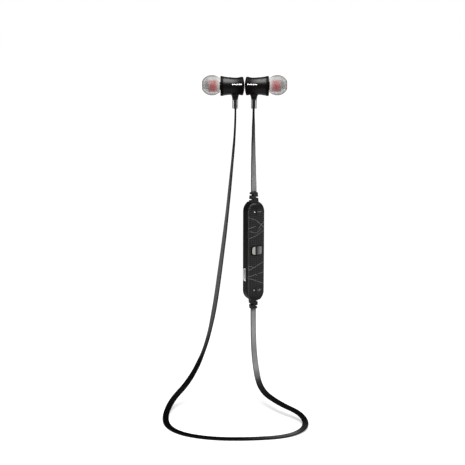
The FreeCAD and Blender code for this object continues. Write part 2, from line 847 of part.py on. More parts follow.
def strain_relief(label, up, notches, eyelet=None):
    """A moulded relief with a neck and a flange inside the case, and notches that let it bend."""
    body = new_body(label, REMOTE)
    sign = "" if up else "- "
    more = " + " if up else " - "
    profile = new_sketch(body, "XZ_Plane")
    draw_outline(profile, (
        ("- relief_half", f"{sign}remote_end"),
        ("relief_half", f"{sign}remote_end"),
        ("relief_end_half", f"{sign}remote_end{more}relief_length"),
        ("- relief_end_half", f"{sign}remote_end{more}relief_length"),
    ))
    extrude(body, "Pad", profile, "relief_depth + relief_depth", both_ways=True)
    neck = new_sketch(body, "XZ_Plane")
    draw_box(neck, "- relief_neck_half", f"{sign}cavity_end", "relief_neck_half", f"{sign}remote_end")
    extrude(body, "Pad", neck, "relief_neck_depth + relief_neck_depth", both_ways=True)
    flange = new_sketch(body, "XZ_Plane")
    inner = "cavity_end - relief_flange" if up else "- cavity_end + relief_flange"
    draw_box(flange, "- cavity_end_half", inner, "cavity_end_half", f"{sign}cavity_end")
    extrude(body, "Pad", flange, "relief_depth + relief_depth", both_ways=True)
    for side, at in notches:
        notch = new_sketch(body, "XZ_Plane")
        place = f"{sign}remote_end{more}{at}"
        outer, inner = "relief_half + 0.5", "notch_reach"
        if side == "left":
            outer, inner = "- notch_reach", "- relief_half - 0.5"
        draw_box(notch, inner, f"{place} - notch_half", outer, f"{place} + notch_half")
        extrude(body, "Pocket", notch, "relief_depth + relief_depth + 1", both_ways=True)
    if eyelet:
        hole = new_sketch(body, "XZ_Plane")
        draw_circle(hole, (eyelet[0], f"{sign}remote_end{more}{eyelet[1]}"), "eyelet_radius")
        extrude(body, "Pocket", hole, "relief_depth + relief_depth + 1", both_ways=True)


# ---------------------------------------------------------------- cables

def tube_path(points):
    """Straight runs joined by tangent arcs. Returns the path and the radius at each turn."""
    edges = []
    radii = []
    at = points[0]
    for before, corner, after in zip(points, points[1:], points[2:]):
        inward = (corner - before).normalize()
        outward = (after - corner).normalize()
        turn = inward.getAngle(outward)
        reach = 0.45 * min(corner.distanceToPoint(before), after.distanceToPoint(corner))
        radius = reach / math.tan(turn / 2)
        radii.append(radius)
        start = corner - inward * reach
        end = corner + outward * reach
        centre = corner + (outward - inward).normalize() * math.hypot(radius, reach)
        middle = centre + (corner - centre).normalize() * radius
        edges.append(Part.LineSegment(at, start).toShape())
        edges.append(Part.Arc(start, middle, end).toShape())
        at = end
    edges.append(Part.LineSegment(at, points[-1]).toShape())
    return Part.Wire(edges), radii


def cable(label, points, extra=None):
    """A plain round tube along the route, with an optional solid at its far end."""
    points = [V(*point) for point in points]
    path, radii = tube_path(points)
    radius = value("cable_radius")
    section = Part.Wire(Part.makeCircle(radius, points[0], points[1] - points[0]))
    solid = path.makePipeShell([section], True, False)
    expected = math.pi * radius ** 2 * path.Length
    print(f"{label}: {path.Length:.1f} mm long, volume {solid.Volume:.1f} of {expected:.1f} mm3,",
          "radii", " ".join(f"{turn:.0f}" for turn in radii))
    if abs(solid.Volume - expected) > 0.01 * expected:
        raise RuntimeError(f"{label}: the tube's volume is not its section times its length")
    feature = doc.addObject("Part::Feature", label)
    feature.Label = label
    feature.Shape = solid.fuse(extra).removeSplitter() if extra else solid
    nodes.append(feature)


def cables():
    """The long cable, and the short one with the round knuckle on which it bends."""
    lower_end = value("remote_z") + value("remote_end") + value("relief_length")
    upper_end = value("remote_z") - value("remote_end") - value("relief_length")
    cable("long_cable", LONG_ROUTE + ((value("remote_x"), 0, -lower_end),))
    pivot = V(value("remote_x"), 0, -upper_end + value("knuckle_radius") + value("knuckle_gap"))
    half = value("knuckle_half")
    knuckle = Part.makeCylinder(value("knuckle_radius"), 2 * half, pivot - V(0, half, 0), V(0, 1, 0))
    cable("short_cable", SHORT_ROUTE + (tuple(pivot),), knuckle)


# ---------------------------------------------------------------- assembly

for side, half_turn in (("left", 180), ("right", 0)):
    bud = FreeCAD.Placement(V(0, 0, 0), FreeCAD.Rotation(V(0, 0, 1), half_turn))
    back_cap(side, bud)
    clasp_magnet(side, bud)
    housing_shell(side, bud)
    front_cap(side, bud)
    nozzle_mesh(side, bud)
    driver(side, bud)
    ear_tip(side, bud)
    stem(side, bud)

case_back()
front_cover()
main_button()
volume_key("volume_minus_key", "minus_key_at", "sound_hole_radius")
volume_key("volume_plus_key", "- plus_key_at", "light_hole_radius")
charging_socket()
electronics()
strain_relief("upper_relief", True, (("left", "4.6"), ("right", "3.0"), ("left", "1.6")))
strain_relief("lower_relief", False, (("right", "1.4"), ("left", "3.2"), ("right", "4.6")), ("- 0.3", "3.2"))
cables()

doc.recompute()
for item in doc.Objects:
    if "Invalid" in item.State or "Error" in item.State:
        raise RuntimeError(f"{item.Label} did not build: {item.State}")
for node in nodes:
    if node.Shape.isNull() or not node.Shape.isValid() or len(node.Shape.Solids) != 1:
        raise RuntimeError(f"{node.Label} is not one good solid")

os.makedirs("parts", exist_ok=True)
for node in nodes:
    node.Shape.exportStep(f"parts/{node.Label}.step")
print(len(nodes), "sub-parts written")
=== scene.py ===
import json
import math

import bmesh
import bpy
from mathutils import Matrix, Vector
from mathutils.bvhtree import BVHTree


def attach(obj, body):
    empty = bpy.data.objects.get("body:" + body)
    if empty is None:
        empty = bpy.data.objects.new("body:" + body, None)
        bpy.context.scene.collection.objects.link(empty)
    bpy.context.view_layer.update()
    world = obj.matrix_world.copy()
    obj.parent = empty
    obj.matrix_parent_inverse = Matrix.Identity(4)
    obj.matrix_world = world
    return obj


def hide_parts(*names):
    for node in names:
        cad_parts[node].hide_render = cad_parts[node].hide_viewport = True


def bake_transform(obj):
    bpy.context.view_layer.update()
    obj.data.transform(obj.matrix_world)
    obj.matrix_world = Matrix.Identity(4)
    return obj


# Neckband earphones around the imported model. Everything is in metres in the row frame:
# the origin is where the two bud backs meet, +X runs to the right tip and -Y is the front.
# Sizes named in millimetres are turned into metres by MM.

MM = 0.001
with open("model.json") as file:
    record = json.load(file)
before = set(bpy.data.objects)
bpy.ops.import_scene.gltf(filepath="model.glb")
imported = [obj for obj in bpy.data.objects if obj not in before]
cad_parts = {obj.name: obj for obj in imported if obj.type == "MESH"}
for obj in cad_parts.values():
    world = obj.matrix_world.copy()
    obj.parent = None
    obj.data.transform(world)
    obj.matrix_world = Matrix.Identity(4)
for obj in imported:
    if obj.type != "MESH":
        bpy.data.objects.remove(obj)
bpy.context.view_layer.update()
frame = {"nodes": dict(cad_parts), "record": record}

REMOTE_AT = Vector((6.0, 0, -104.95)) * MM
REMOTE_TURN = Matrix.Rotation(math.radians(25), 3, "Z")
REMOTE = Matrix.Translation(REMOTE_AT) @ REMOTE_TURN.to_4x4()
REMOTE_RIGHT = REMOTE_TURN @ Vector((1, 0, 0))
REMOTE_FRONT = REMOTE_TURN @ Vector((0, -1, 0))
UP = Vector((0, 0, 1))
FLOOR_HEIGHT = -205.57 * MM

# The remote's sizes in its own axes, in millimetres from its middle: across runs to its right,
# through to its back and along upwards. The middles below are places along it.
REMOTE_HALF = 6.1            # half its width
STRAIGHT_HALF = 25.95        # half the length of its straight sides
BUTTON_MIDDLE = 1.3
MINUS_KEY_MIDDLE = 26.4
PLUS_KEY_MIDDLE = -24.75
SOCKET_MIDDLE = -15.3

# The cables' routes follow the CAD model's, with a few points moved by less than 1 mm. The short
# one goes on past the CAD model's knuckle, down to the upper relief.
LONG_ROUTE = (
    (-5.7, 0, -8.9),
    (-5.5, 0, -24),
    (-8, 0.3, -52),
    (-11.2, 0.8, -84),
    (-15.3, 1, -116),
    (-19.5, 0.7, -146),
    (-25.3, 0, -171),
    (-35.4, -4, -191.5),
    (-47.9, -17, -201),
    (-50.5, -41, -205),
    (-41, -57.4, -205),
    (-21, -65.5, -205),
    (4, -66, -205),
    (27, -62, -205),
    (38.5, -50.5, -204),
    (36, -37, -201),
    (22, -25, -199),
    (10.8, -7, -197),
    (7.5, 0.5, -183),
    (6, 0, -163),
    (6, 0, -143.1),
)
SHORT_ROUTE = (
    (5.7, 0, -8.9),
    (5.6, 0, -22),
    (5.6, 0, -45),
    (6, 0, -66.8),
)

# ---------------------------------------------------------------- camera, light and floor


def make_object(name, data):
    made = bpy.data.objects.new(name, data)
    bpy.context.scene.collection.objects.link(made)
    return made


CAMERA_AT = (-0.0075, -0.60645, 0.03604)
CAMERA_DIP = 12              # degrees that it looks down by
lens = bpy.data.cameras.new("camera")
lens.lens = 75
lens.sensor_width = 36
lens.clip_start = 0.01
camera = make_object("camera", lens)
camera.location = CAMERA_AT
camera.rotation_euler = (math.radians(90 - CAMERA_DIP), 0, 0)
bpy.context.scene.camera = camera
bpy.context.scene.view_settings.view_transform = "Standard"


def softbox(name, place, aim, width, height, radiance):
    """A plain rectangular light that looks at a point and has the given brightness."""
    lamp = bpy.data.lights.new(name, "AREA")
    lamp.shape = "RECTANGLE"
    lamp.size = width
    lamp.size_y = height
    lamp.energy = radiance * width * height * math.pi
    made = make_object(name, lamp)
    made.location = place
    made.rotation_euler = (Vector(aim) - Vector(place)).to_track_quat("-Z", "Y").to_euler()


softbox("top_light", (0, -0.25, 0.75), (0, -0.2, 0), 0.8, 0.85, 13.5)
softbox("right_light", (0.95, -0.75, 0.15), (0, 0, -0.1), 0.5, 0.9, 3.0)
softbox("left_light", (-1.0, -0.35, 0.2), (0, 0, -0.1), 0.4, 0.8, 0.8)


class Nodes:
    """A node tree under construction. A value for a socket is a number, a colour or another socket."""

    def __init__(self, tree):
        self.tree = tree
        tree.nodes.clear()

    def add(self, kind, inputs=(), **settings):
        node = self.tree.nodes.new("ShaderNode" + kind)
        for name, setting in settings.items():
            setattr(node, name, setting)
        for key, given in dict(inputs).items():
            if isinstance(given, bpy.types.NodeSocket):
                self.tree.links.new(given, node.inputs[key])
            else:
                node.inputs[key].default_value = given
        return node

    def noise(self, size, detail=3.0, stretch=(1, 1, 1)):
        """Noise with features of about that size in millimetres, 0 to 1."""
        scaled = self.add("Mapping", {"Vector": self.place(), "Scale": stretch}).outputs[0]
        inputs = {"Vector": scaled, "Scale": 1 / (size * MM), "Detail": detail}
        return self.add("TexNoise", inputs).outputs[0]

    def spread(self, source, low, high, start=0.3, end=0.7):
        """The source mapped from start..end to low..high."""
        return self.add("MapRange", {0: source, 1: start, 2: end, 3: low, 4: high}).outputs[0]

    def mix(self, share, first, second):
        return self.add("Mix", {0: share, 6: first, 7: second}, data_type="RGBA").outputs[2]

    def math(self, operation, *values):
        return self.add("Math", dict(enumerate(values)), operation=operation).outputs[0]

    def place(self):
        """Where a point lies in its own piece, which is the row frame at rest."""
        return self.add("TexCoord").outputs["Object"]

    def bump(self, height, depth):
        """A normal from a 0 to 1 height that is depth millimetres deep."""
        inputs = {"Height": height, "Distance": depth * MM, "Strength": 1.0}
        return self.add("Bump", inputs).outputs[0]

    def attribute(self, name):
        return self.add("Attribute", attribute_name=name).outputs["Fac"]

    def finish(self, surface):
        self.add("OutputMaterial", {"Surface": surface.outputs[0]})


def grey(level):
    """Linear brightness of a screen level from 0 to 255."""
    share = level / 255
    return share / 12.92 if share < 0.04045 else ((share + 0.055) / 1.055) ** 2.4


def colour(red, green=None, blue=None):
    """A linear colour with full alpha from screen levels."""
    levels = (red, red if green is None else green, red if blue is None else blue)
    return (*(grey(level) for level in levels), 1)


world = bpy.data.worlds.new("studio")
world.use_nodes = True
bpy.context.scene.world = world
sky = Nodes(world.node_tree)
seen = sky.add("LightPath").outputs["Is Camera Ray"]
room = sky.add("Background", {"Color": (1, 1, 1, 1), "Strength": 0.06})
backdrop = sky.add("Background", {"Color": (1, 1, 1, 1), "Strength": 1.0})
both = sky.add("MixShader", {0: seen, 1: room.outputs[0], 2: backdrop.outputs[0]})
sky.add("OutputWorld", {"Surface": both.outputs[0]})


def ring_faces(count, rings):
    """Faces of a tube closed on itself: rings of so many corners, the last joined to the first."""
    faces = []
    for ring in range(rings):
        near = ring * count
        far = (ring + 1) % rings * count
        for corner in range(count):
            following = (corner + 1) % count
            faces.append((near + corner, near + following, far + following, far + corner))
    return faces


def tube_faces(count, rings):
    """Faces of a tube through rings of so many corners, with a face across each end."""
    ends = [tuple(range(count)), tuple(range(count * (rings - 1), count * rings))]
    return ring_faces(count, rings)[:-count] + ends


def make_mesh(name, places, faces, smooth=True):
    """An object with one mesh, its faces turned outwards."""
    data = bpy.data.meshes.new(name)
    data.from_pydata([tuple(place) for place in places], [], faces)
    shape = bmesh.new()
    shape.from_mesh(data)
    bmesh.ops.recalc_face_normals(shape, faces=shape.faces)
    shape.to_mesh(data)
    shape.free()
    for face in data.polygons:
        face.use_smooth = smooth
    return make_object(name, data)


FLOOR_HALF = 6.0
floor = make_mesh(
    "floor",
    [(x * FLOOR_HALF, y * FLOOR_HALF, FLOOR_HEIGHT) for x, y in ((-1, -1), (1, -1), (1, 1), (-1, 1))],
    [(0, 1, 2, 3)],
)

# Grey paper that fades to plain white further out.
paper = bpy.data.materials.new("paper")
paper.use_nodes = True
sheet = Nodes(paper.node_tree)
away = sheet.add("VectorMath", {0: sheet.place()}, operation="LENGTH")
outer = sheet.spread(away.outputs["Value"], 0.5, 1.0, 0.28, 0.6)
near = sheet.add("BsdfDiffuse", {"Color": (0.64, 0.64, 0.64, 1)})
glow = sheet.spread(sheet.add("LightPath").outputs["Is Camera Ray"], 0.15, 1.05, 0.0, 1.0)
far = sheet.add("Emission", {"Color": (1, 1, 1, 1), "Strength": glow})
blended = sheet.add("MixShader", {0: outer, 1: near.outputs[0], 2: far.outputs[0]})
sheet.finish(blended)
floor.data.materials.append(paper)

# ---------------------------------------------------------------- materials


def material(name):
    made = bpy.data.materials.new(name)
    made.use_nodes = True
    return made, Nodes(made.node_tree)


PATCHES_PER_GRAIN = 14       # how much larger the uneven patches are than the grain


def moulded(name, level, roughness, grain=0.16, depth=0.006, mottle=0.2, metallic=0.0, specular=0.5):
    """A moulded or machined surface: fine grain, slightly uneven colour and gloss. The level is
    a grey or a (red, green, blue), and the grain and its depth are in millimetres."""
    made, nodes = material(name)
    base = colour(*level) if isinstance(level, tuple) else colour(level)
    light = tuple(channel * (1 + mottle) for channel in base[:3]) + (1,)
    dark = tuple(channel * (1 - mottle) for channel in base[:3]) + (1,)
    patches = nodes.noise(grain * PATCHES_PER_GRAIN, 4.0)
    fine = nodes.noise(grain, 2.0)
    tone = nodes.mix(nodes.spread(patches, 0.0, 1.0), dark, light)
    gloss = nodes.spread(patches, roughness * 0.85, roughness * 1.2)
    surface = nodes.add("BsdfPrincipled", {
        "Base Color": tone,
        "Roughness": gloss,
        "Metallic": metallic,
        "Specular IOR Level": specular,
        "Normal": nodes.bump(fine, depth),
    })
    nodes.finish(surface)
    return made


def times(nodes, first, second):
    return nodes.math("MULTIPLY", first, second)


def from_clasp(nodes):
    """Distance of a point from the clasp along the bud axis, in millimetres."""
    sideways = nodes.add("SeparateXYZ", {0: nodes.place()}).outputs["X"]
    return times(nodes, nodes.math("ABSOLUTE", sideways), 1 / MM)


def housing_black():
    """Satin black metal with fine turned grooves, whose gloss fades away towards both ends."""
    dull, glossy = 0.01, 0.2
    made, nodes = material("housing_finish")
    patches = nodes.noise(1.4, 4.0)
    tone = nodes.mix(nodes.spread(patches, 0.0, 1.0), colour(10, 8, 7), colour(14, 11, 10))
    grooves = nodes.bump(nodes.noise(0.1, 2.0, (1, 0.05, 0.05)), 0.003)
    layers = []
    for specular in (dull, glossy):
        layer = nodes.add("BsdfPrincipled", {
            "Base Color": tone,
            "Roughness": nodes.spread(patches, 0.26, 0.36),
            "Specular IOR Level": specular,
            "Normal": grooves,
        })
        layers.append(layer.outputs[0])
    along = from_clasp(nodes)
    from_back = nodes.spread(along, 0.03, 1.0, 3.2, 8.6)
    to_ring = nodes.spread(along, 1.0, 0.03, 12.7, 13.7)
    shine = times(nodes, from_back, to_ring)
    surface = nodes.add("MixShader", {0: shine, 1: layers[0], 2: layers[1]})
    nodes.finish(surface)
    return made


def tip_skin():
    """The tip's translucent silicone: denser and darker at the rims, darkened towards the top by painted
    shade, and at the skirt whitened and glowing with painted light that lifts the ring's shadow there."""
    painted_light_white = colour(238, 234, 230)
    made, nodes = material("tip_finish")
    facing = nodes.add("LayerWeight", {"Blend": 0.5}).outputs["Facing"]
    edge = nodes.spread(facing, 0.0, 1.0, 0.45, 0.95)
    skirt = nodes.spread(from_clasp(nodes), 1.0, 0.0, 15.6, 18.6)
    cloud = nodes.spread(nodes.noise(3.0, 2.0), 0.0, 1.0)
    pale = nodes.mix(cloud, colour(136, 132, 129), colour(144, 140, 137))
    rimmed = nodes.mix(edge, pale, colour(80, 78, 75))
    # Painted light: the skirt is whitened, less so at its rims, to lift the ring's shadow.
    painted_skirt_light = times(nodes, skirt, nodes.spread(edge, 1.0, 0.4, 0.0, 1.0))
    # Painted shade: the colour darkens towards the top, against the top lamp's light.
    height = nodes.add("SeparateXYZ", {0: nodes.place()}).outputs["Z"]
    high = nodes.spread(height, 0.0, 0.6, 0.5 * MM, 6 * MM)
    tone = nodes.mix(high, nodes.mix(painted_skirt_light, rimmed, painted_light_white), colour(84, 82, 80))
    thick = nodes.math(
        "MAXIMUM", nodes.spread(edge, 0.36, 0.97, 0.0, 1.0), nodes.spread(skirt, 0.0, 0.75, 0.0, 1.0),
    )
    face = nodes.add("BsdfPrincipled", {
        "Base Color": tone,
        "Roughness": nodes.spread(cloud, 0.3, 0.4, 0.0, 1.0),
        # Painted light: the skirt glows white.
        "Emission Color": painted_light_white,
        "Emission Strength": nodes.spread(skirt, 0.0, 0.45, 0.3, 1.0),
        "Normal": nodes.bump(nodes.noise(0.8, 2.0), 0.004),
    })
    inner = nodes.add("BsdfTranslucent", {"Color": tone})
    body = nodes.add("MixShader", {0: 0.45, 1: face.outputs[0], 2: inner.outputs[0]})
    clear = nodes.add("BsdfTransparent")
    surface = nodes.add("MixShader", {0: thick, 1: clear.outputs[0], 2: body.outputs[0]})
    nodes.finish(surface)
    return made


def tip_lining():
    """The inside wall of the tip, which adds only a faint haze."""
    made, nodes = material("lining_finish")
    cloud = nodes.spread(nodes.noise(3.0, 2.0), 0.0, 1.0)
    haze = nodes.add("BsdfTranslucent", {"Color": nodes.mix(cloud, colour(140), colour(150))})
    clear = nodes.add("BsdfTransparent")
    surface = nodes.add("MixShader", {0: 0.12, 1: clear.outputs[0], 2: haze.outputs[0]})
    nodes.finish(surface)
    return made


def tip_core():
    """The red core: its colour thins out at the rims and ends, as it looks through silicone, and
    a faint glow stands for the light scattered inside."""
    made, nodes = material("core_finish")
    facing = nodes.add("LayerWeight", {"Blend": 0.5}).outputs["Facing"]
    along = from_clasp(nodes)
    middle = nodes.spread(facing, 1.0, 0.0, 0.25, 0.85)
    back = nodes.spread(along, 0.0, 1.0, 15.8, 18.6)
    front = nodes.spread(along, 1.0, 0.0, 20.6, 22.7)
    share = times(nodes, times(nodes, middle, back), front)
    cloud = nodes.spread(nodes.noise(2.0, 2.0), 0.0, 1.0)
    red = nodes.mix(cloud, colour(88, 14, 17), colour(96, 18, 21))
    surface = nodes.add("BsdfPrincipled", {
        "Base Color": nodes.mix(share, colour(92, 80, 78), red),
        "Emission Color": nodes.mix(share, colour(118, 104, 102), colour(158, 58, 64)),
        "Emission Strength": 1.0,
        "Roughness": nodes.spread(cloud, 0.45, 0.6, 0.0, 1.0),
    })
    nodes.finish(surface)
    return made


def clear_sleeve():
    """Smoky clear sleeve: see-through in the middle, greyer towards its sides."""
    made, nodes = material("sleeve_finish")
    facing = nodes.add("LayerWeight", {"Blend": 0.5}).outputs["Facing"]
    cloud = nodes.spread(nodes.noise(1.0, 2.0), 0.0, 1.0)
    tone = nodes.mix(cloud, colour(150), colour(166))
    surface = nodes.add("BsdfPrincipled", {
        "Base Color": tone,
        "Roughness": nodes.spread(cloud, 0.3, 0.4, 0.0, 1.0),
        "Alpha": nodes.spread(facing, 0.05, 0.9, 0.15, 0.55),
        "Normal": nodes.bump(nodes.noise(0.5, 2.0), 0.004),
    })
    nodes.finish(surface)
    return made


def along_remote(nodes, axis):
    """How far a point lies from the remote's centre along one of its axes, in millimetres."""
    apart = nodes.add("VectorMath", {0: nodes.place(), 1: REMOTE_AT}, operation="SUBTRACT").outputs[0]
    reach = nodes.add("VectorMath", {0: apart, 1: axis / MM}, operation="DOT_PRODUCT")
    return reach.outputs["Value"]


RIDGE_ACROSS = -0.8          # where the ridge between the button's facets lies


def button_metal():
    """Bright metal facets on a black button body, the right facet darkened by painted shade that deepens
    towards the ridge.
    The facets end at its front's left edge, at its top and bottom and at its cut right corners, and at the
    ridge."""
    made, nodes = material("button_finish")
    across = along_remote(nodes, REMOTE_RIGHT)
    depth = along_remote(nodes, REMOTE_FRONT)
    height = nodes.math("ABSOLUTE", nodes.math("SUBTRACT", along_remote(nodes, UP), BUTTON_MIDDLE))
    from_ridge = nodes.math("ABSOLUTE", nodes.math("SUBTRACT", across, RIDGE_ACROSS))
    past_corner = nodes.math("SUBTRACT", height, across)
    patches = nodes.noise(1.2, 3.0)
    left = nodes.mix(nodes.spread(patches, 0.0, 1.0), colour(214, 212, 204), colour(230, 228, 220))
    # Painted shade: the right facet darkens towards the ridge.
    right = nodes.mix(nodes.spread(across, 0.0, 1.0, -0.4, 3.3), colour(58), colour(176))
    facets = nodes.mix(nodes.spread(across, 0.0, 1.0, RIDGE_ACROSS - 0.05, RIDGE_ACROSS + 0.05), left, right)
    bright = nodes.spread(depth, 0.0, 1.0, 4.38, 4.46)
    inside_left_edge = nodes.spread(across, 0.0, 1.0, -3.25, -3.1)
    inside_ends = nodes.spread(height, 1.0, 0.0, 2.5, 2.6)
    inside_corners = nodes.spread(past_corner, 1.0, 0.0, 4.7, 4.85)
    off_ridge = nodes.spread(from_ridge, 0.0, 1.0, 0.46, 0.52)
    for mask in (inside_left_edge, inside_ends, inside_corners, off_ridge):
        bright = times(nodes, bright, mask)
    surface = nodes.add("BsdfPrincipled", {
        "Base Color": nodes.mix(bright, colour(14), facets),
        "Roughness": nodes.spread(patches, 0.3, 0.4),
        "Metallic": bright,
        "Normal": nodes.bump(nodes.noise(0.08, 2.0, (1, 1, 0.05)), 0.002),
    })
    nodes.finish(surface)
    return made


WEAVE_PITCH = 1.3
FRONT_RIM = (3.35, 3.5)      # how far forwards the black sides end and the woven front starts
WEAVE_END = (27.0, 30.0)     # how far up and down the woven look ends and the black starts


def woven_front(name):
    """The cover's fine woven-look grain, with plain black sides below the front's rim and black
    at both ends."""
    made, nodes = material(name)
    ribs = []
    for axis in (REMOTE_RIGHT, UP):
        turn = times(nodes, along_remote(nodes, axis), 2 * math.pi / WEAVE_PITCH)
        ribs.append(nodes.spread(nodes.math("SINE", turn), 0.0, 1.0, -1.0, 1.0))
    weave = times(nodes, ribs[0], ribs[1])
    patches = nodes.noise(1.7, 4.0)
    away = nodes.math("ABSOLUTE", along_remote(nodes, UP))
    woven = nodes.mix(weave, colour(25), colour(56))
    front = nodes.mix(nodes.spread(away, 0.0, 1.0, *WEAVE_END), woven, colour(16))
    on_front = nodes.spread(along_remote(nodes, REMOTE_FRONT), 0.0, 1.0, *FRONT_RIM)
    surface = nodes.add("BsdfPrincipled", {
        "Base Color": nodes.mix(on_front, colour(10), front),
        "Roughness": nodes.spread(patches, 0.42, 0.55),
        "Specular IOR Level": 0.14,
        "Normal": nodes.bump(weave, 0.02),
    })
    nodes.finish(surface)
    return made


def cable_skin():
    """The flat cable: rubber whose face goes from grey to black along it, partly its own grey and partly
    painted light and shade, with darker edges.
    """
    made, nodes = material("cable_skin")
    rim = nodes.spread(nodes.attribute("rim"), 0.0, 0.75, 0.1, 0.6)
    # The face's level along the cable holds its own grey and painted light and shade.
    grey_and_light_attribute = nodes.attribute("tone")
    streaks = nodes.spread(nodes.noise(0.5, 3.0, (1, 1, 0.08)), 0.92, 1.08)
    face = times(nodes, grey_and_light_attribute, streaks)
    face_grey_and_painted_light = nodes.add("CombineColor", {0: face, 1: face, 2: face}).outputs[0]
    surface = nodes.add("BsdfPrincipled", {
        "Base Color": nodes.mix(rim, face_grey_and_painted_light, colour(12)),
        "Roughness": nodes.spread(streaks, 0.55, 0.65, 0.9, 1.1),
        "Specular IOR Level": 0.02,
        "Normal": nodes.bump(nodes.noise(0.12, 2.0), 0.004),
    })
    nodes.finish(surface)
    return made


FINISHES = {
    "housing_black": housing_black(),
    "ring_black": moulded("ring_finish", 8, 0.35, 0.2, 0.002, specular=0.02),
    "stem_black": moulded("stem_finish", 10, 0.42, 0.16, 0.006, specular=0.15),
    "sleeve_clear": clear_sleeve(),
    "tip_silicone": tip_skin(),
    "tip_core_red": tip_core(),
    "cable_grey": cable_skin(),
    "remote_case": moulded("case_finish", 7, 0.45, 0.12, 0.004, specular=0.1),
    "remote_front": woven_front("front_finish"),
    "key_plastic": woven_front("key_finish"),
    "button_metal": button_metal(),
    "relief_rubber": moulded("relief_finish", 24, 0.6, 0.2, 0.01, specular=0.3),
    "socket_metal": moulded("socket_finish", 205, 0.28, 0.1, 0.002, metallic=1.0),
    "socket_plastic": moulded("tongue_finish", 30, 0.5),
    "mesh_metal": moulded("mesh_finish", 150, 0.4, 0.05, 0.01, metallic=1.0),
    "magnet_metal": moulded("magnet_finish", 190, 0.25, 0.2, 0.002, metallic=1.0),
    "driver_plastic": moulded("driver_finish", 40, 0.5),
    "coil_copper": moulded("coil_finish", (190, 110, 70), 0.35, 0.06, 0.01, metallic=1.0),
    "diaphragm_film": moulded("film_finish", (190, 196, 200), 0.3, 0.3, 0.004),
    "board_green": moulded("board_finish", (30, 84, 52), 0.45, 0.5, 0.008),
    "battery_foil": moulded("battery_finish", 176, 0.35, 0.8, 0.02, metallic=0.8),
    "chip_black": moulded("chip_finish", 26, 0.5),
    "switch_metal": moulded("switch_finish", 170, 0.35, metallic=1.0),
    "light_pipe": moulded("light_finish", (176, 180, 182), 0.3, 0.3, 0.002, mottle=0.05),
}
PRINT_WHITE = moulded("print_finish", 250, 0.55, 0.08, 0.002, mottle=0.03)
# Grey for the keys' printed marks and for the painted highlights on the cover.
PRINT_AND_HIGHLIGHT_GREY = moulded("print_and_highlight_finish", 104, 0.5, 0.08, 0.002, mottle=0.1)
LIP_SILVER = moulded("lip_finish", 226, 0.35, 0.1, 0.002, metallic=0.3)
CREASE_BLACK = moulded("crease_finish", 6, 0.6, 0.08, 0.002, specular=0.1)

for piece in frame["record"]["subparts"]:
    shown = frame["nodes"][piece["node"]].data
    shown.materials.clear()
    shown.materials.append(FINISHES[piece["material_slot"]])

# ---------------------------------------------------------------- cables

RIBBON_HALF = 1.93 * MM
RIBBON_THIN = 0.55 * MM
EDGE_STEPS = 8


def route_line(name, route):
    """Points along the smooth curve that has the route as its control points."""
    curve = bpy.data.curves.new(name, "CURVE")
    curve.dimensions = "3D"
    curve.resolution_u = 20
    spline = curve.splines.new("NURBS")
    spline.points.add(len(route) - 1)
    for point, place in zip(spline.points, route):
        point.co = (*(Vector(place) * MM), 1)
    spline.order_u = 3
    spline.use_endpoint_u = True
    guide = make_object(name, curve)
    line = bpy.data.meshes.new_from_object(guide)
    places = [corner.co.copy() for corner in line.vertices]
    bpy.data.objects.remove(guide)
    bpy.data.meshes.remove(line)
    return places


def smooth_step(value, start, end):
    """How far a value has come from start to end, 0 to 1 and easing at both."""
    share = min(1.0, max(0.0, (value - start) / (end - start)))
    return share * share * (3 - 2 * share)


def between(keys, where):
    """The value at a place, from (place, value) keys in order, easing from each to the next."""
    if where <= keys[0][0]:
        return keys[0][1]
    for (start, first), (end, last) in zip(keys, keys[1:]):
        if where <= end:
            return first + (last - first) * smooth_step(where, start, end)
    return keys[-1][1]


def ribbon_section():
    """Points round the flat cable's section, as (across, through, how near the thin edge)."""
    straight = RIBBON_HALF - RIBBON_THIN
    section = []
    for side in (1, -1):
        for step in range(EDGE_STEPS + 1):
            turn = math.pi * (step / EDGE_STEPS - 0.5)
            across = straight + RIBBON_THIN * math.cos(turn)
            section.append((side * across, side * RIBBON_THIN * math.sin(turn), math.cos(turn)))
        for share in (0.5, 0.0, -0.5):
            section.append((side * straight * share, side * RIBBON_THIN, 0.0))
    return section


def ribbon(name, line, facings, widths, thicknesses, grey_and_painted_light):
    """A flat cable along a line. Every list has (distance along it in millimetres, value) keys:
    which way the flat face looks, how wide and thick it is against its full section, and the
    screen level of its face, which holds the cable's own grey and painted light and shade."""
    section = ribbon_section()
    places, rims, grey_and_painted_light_values = [], [], []
    gone = 0.0
    for index, spot in enumerate(line):
        before, after = line[max(0, index - 1)], line[min(len(line) - 1, index + 1)]
        gone += (spot - before).length / MM
        along = (after - before).normalized()
        wide = along.cross(between(facings, gone)).normalized()
        out = wide.cross(along)
        width = between(widths, gone)
        thickness = between(thicknesses, gone)
        for across, through, rim in section:
            places.append(spot + wide * across * width + out * through * thickness)
            rims.append(rim)
            grey_and_painted_light_values.append(grey(between(grey_and_painted_light, gone)))
    made = make_mesh(name, places, tube_faces(len(section), len(line)))
    for key, values in (("rim", rims), ("tone", grey_and_painted_light_values)):
        attribute = made.data.attributes.new(key, "FLOAT", "POINT")
        attribute.data.foreach_set("value", values)
    made.data.materials.append(FINISHES["cable_grey"])
    return made


